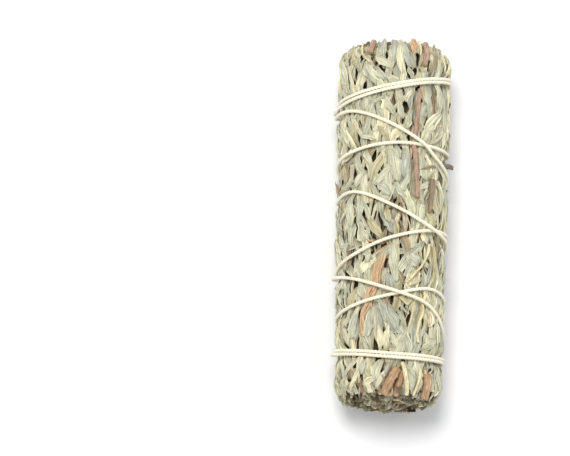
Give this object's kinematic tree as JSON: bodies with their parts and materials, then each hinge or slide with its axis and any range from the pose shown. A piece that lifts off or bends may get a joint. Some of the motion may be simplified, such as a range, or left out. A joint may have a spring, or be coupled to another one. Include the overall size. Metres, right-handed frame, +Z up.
{
  "type": "dried sage bundle",
  "caption": "Dried sage stick: leafy sprigs cut to one length, packed side by side into a round bundle and bound along its length with one cotton string.",
  "frame": {"origin": "on the surface that the stick lies on, under the middle of its length and width", "axes": "+Y along the stick from its cut butts towards its crown, +Z up, +X to the right seen from above with the crown away from the viewer"},
  "size_m": [0.0336, 0.101, 0.0318],
  "materials": {
    "leaf": "dried sage leaf, grey-green, matt and felted, veined and wrinkled",
    "leaf_pale": "dried sage leaf turned pale and yellowish, matt",
    "straw_stem": "dry straw-coloured stem, finely grooved along its length",
    "brown_stem": "dry reddish-brown stem with pale flecks, rough cut ends",
    "bark": "thin orange-brown strip of bark, grooved along its length",
    "cotton": "undyed twisted cotton string, matt, slightly fuzzy"
  },
  "bodies": {
    "root": {"bark_strip": "bark", "bent_twig": "straw_stem", "binding_string": "cotton", "blue_grey_leaf": "leaf", "broad_leaf_1": "leaf_pale", "broad_leaf_2": "leaf_pale", "butt_stem_1": "brown_stem", "butt_stem_2": "brown_stem", "butt_stem_3": "brown_stem", "cream_leaf": "leaf_pale", "crown_bark": "bark", "crown_stem_1": "brown_stem", "crown_stem_2": "brown_stem", "curved_pale_stem": "straw_stem", "cut_stub": "brown_stem", "long_brown_stem": "brown_stem", "oblong_leaf": "leaf_pale", "olive_leaf": "leaf", "pale_cut_stem": "straw_stem", "right_pale_stem": "straw_stem", "round_leaf": "leaf", "short_tan_stem": "brown_stem", "sprig_core_01": "leaf", "sprig_core_02": "leaf", "sprig_core_03": "leaf", "sprig_inner_01": "leaf", "sprig_inner_02": "leaf", "sprig_inner_03": "leaf", "sprig_inner_04": "leaf", "sprig_inner_05": "leaf", "sprig_inner_06": "leaf", "sprig_inner_07": "leaf", "sprig_outer_01": "leaf", "sprig_outer_02": "leaf", "sprig_outer_03": "leaf", "sprig_outer_04": "leaf", "sprig_outer_05": "leaf", "sprig_outer_06": "leaf", "sprig_outer_07": "leaf", "sprig_outer_08": "leaf", "sprig_outer_09": "leaf", "sprig_outer_10": "leaf", "sprig_outer_11": "leaf", "sprig_outer_12": "leaf", "sprig_outer_13": "leaf", "sprig_outer_14": "leaf", "thin_pale_stem": "straw_stem"}
  },
  "joints": []
}
